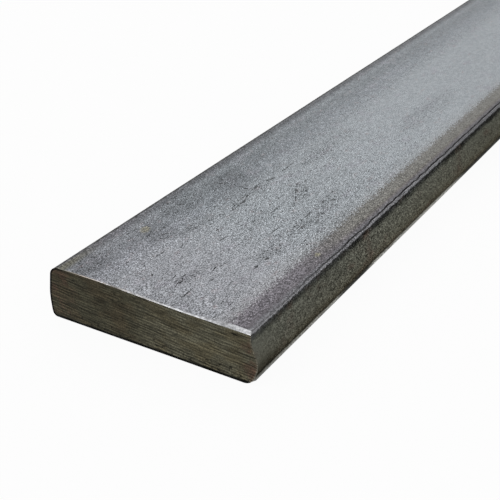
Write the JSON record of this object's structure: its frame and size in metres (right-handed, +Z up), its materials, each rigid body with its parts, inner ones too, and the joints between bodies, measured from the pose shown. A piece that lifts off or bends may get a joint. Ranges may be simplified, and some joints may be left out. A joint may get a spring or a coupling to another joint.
{
  "type": "stainless steel flat bar",
  "caption": "Length of hot-rolled stainless steel flat bar with bulged mill edges and square sawn ends, stock for frames, brackets and straps.",
  "frame": {"origin": "centre of the underside, on the surface that the bar lies on", "axes": "+X along the bar, away from the dressed end; +Y across its width, towards the edge with the full rounding; +Z up through its thickness"},
  "size_m": [0.5, 0.05, 0.012],
  "materials": {
    "steel": "dull grey mill finish, rolled and pickled, with bare sawn ends"
  },
  "bodies": {
    "root": {"flat_bar": "steel"}
  },
  "joints": []
}
